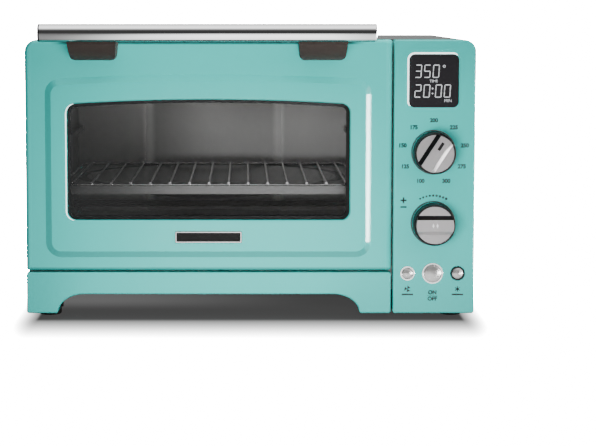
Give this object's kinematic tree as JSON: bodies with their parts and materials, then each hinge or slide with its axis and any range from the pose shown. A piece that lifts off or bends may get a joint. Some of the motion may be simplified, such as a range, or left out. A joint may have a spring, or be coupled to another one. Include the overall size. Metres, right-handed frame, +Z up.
{
  "type": "toaster oven",
  "caption": "Countertop convection toaster oven in aqua enamel with a chrome bar handle, an arched door window, knobs, a display and a slide-out rack.",
  "frame": {"origin": "middle of the oven's outline, on the table under the feet", "axes": "+X to the oven's right seen from the front, -Y out of the door, +Z up"},
  "size_m": [0.47, 0.404, 0.312],
  "materials": {
    "aqua_enamel": "gloss enamel",
    "grey_casing": "satin paint",
    "cavity_steel": "satin sheet",
    "chrome_bar": "polished",
    "dark_cast": "satin paint",
    "rack_chrome": "bright wire",
    "tray_enamel": "satin enamel",
    "door_pane": "clear",
    "gasket_rubber": "matte",
    "badge_black": "gloss with a bright rim",
    "knob_silver": "satin metallic",
    "knob_black": "satin",
    "button_silver": "satin metallic",
    "bezel_chrome": "polished",
    "screen_black": "gloss",
    "board_green": "satin",
    "component_black": "matte",
    "plain_steel": "satin",
    "heater_sheath": "dull",
    "bush_ceramic": "matte"
  },
  "bodies": {
    "oven_body": {"base_fascia": "aqua_enamel", "control_panel": "aqua_enamel", "case_wrap": "grey_casing", "rear_cover": "grey_casing", "base_pan": "grey_casing", "cavity_frame": "cavity_steel", "cavity_floor": "cavity_steel", "cavity_ceiling": "cavity_steel", "cavity_back": "cavity_steel", "cavity_left_wall": "cavity_steel", "cavity_right_wall": "cavity_steel", "fan_grille": "cavity_steel", "fan_housing": "cavity_steel", "bay_shield": "cavity_steel", "crumb_tray": "cavity_steel", "feet": "gasket_rubber", "cord_gland": "gasket_rubber", "knob_bezels": "knob_black", "button_bezels": "bezel_chrome", "display_lens": "screen_black", "control_board": "board_green", "power_board": "board_green", "display_module": "component_black", "encoders": "component_black", "button_switches": "component_black", "fan_motor": "plain_steel", "temperature_probe": "plain_steel", "cover_screws": "plain_steel", "hinge_bracket_left": "plain_steel", "hinge_bracket_right": "plain_steel", "upper_heaters": "heater_sheath", "lower_heaters": "heater_sheath", "heater_bushes": "bush_ceramic"},
    "door": {"door_shell": "aqua_enamel", "door_inner_panel": "cavity_steel", "door_glass": "door_pane", "glass_gasket": "gasket_rubber", "handle_bar": "chrome_bar", "handle_caps": "chrome_bar", "handle_bracket_left": "dark_cast", "handle_bracket_right": "dark_cast", "hinge_clevises": "plain_steel", "hinge_pins": "plain_steel", "badge_plate": "badge_black"},
    "rack": {"drip_tray": "tray_enamel", "wire_rack": "rack_chrome"},
    "mode_knob": {"mode_knob": "knob_silver", "mode_knob_sleeve": "knob_black", "mode_shaft": "plain_steel"},
    "select_push": {"select_plunger": "component_black"},
    "select_knob": {"select_knob": "knob_silver", "select_knob_sleeve": "knob_black", "select_shaft": "plain_steel"},
    "convection_button": {"convection_button": "button_silver"},
    "start_button": {"start_button": "button_silver"},
    "defrost_button": {"defrost_button": "button_silver"},
    "fan": {"fan_impeller": "plain_steel"}
  },
  "joints": [
    {"name": "door_hinge", "type": "hinge", "parent": "oven_body", "child": "door", "pos_m": [0, -0.1445, 0.061], "axis": [1, 0, 0], "range_deg": [0, 90]},
    {"name": "rack_slide", "type": "slide", "parent": "oven_body", "child": "rack", "axis": [0, -1, 0], "range_m": [0, 0.115]},
    {"name": "mode_knob_turn", "type": "hinge", "parent": "oven_body", "child": "mode_knob", "pos_m": [0.1912, -0.152, 0.178], "axis": [0, 1, 0], "continuous": true},
    {"name": "select_knob_push", "type": "slide", "parent": "oven_body", "child": "select_push", "axis": [0, 1, 0], "range_m": [0, 0.0015], "stiffness_N_per_m": 400},
    {"name": "select_knob_turn", "type": "hinge", "parent": "select_push", "child": "select_knob", "pos_m": [0.1912, -0.152, 0.1035], "axis": [0, 1, 0], "continuous": true},
    {"name": "convection_press", "type": "slide", "parent": "oven_body", "child": "convection_button", "axis": [0, 1, 0], "range_m": [0, 0.0015], "stiffness_N_per_m": 400},
    {"name": "start_press", "type": "slide", "parent": "oven_body", "child": "start_button", "axis": [0, 1, 0], "range_m": [0, 0.0015], "stiffness_N_per_m": 400},
    {"name": "defrost_press", "type": "slide", "parent": "oven_body", "child": "defrost_button", "axis": [0, 1, 0], "range_m": [0, 0.0015], "stiffness_N_per_m": 400},
    {"name": "fan_spin", "type": "hinge", "parent": "oven_body", "child": "fan", "pos_m": [0.1623, 0.0155, 0.172], "axis": [1, 0, 0], "continuous": true}
  ],
  "couplings": [
    {"joint": "rack_slide", "follows": "door_hinge", "m_per_rad": 0.07}
  ]
}
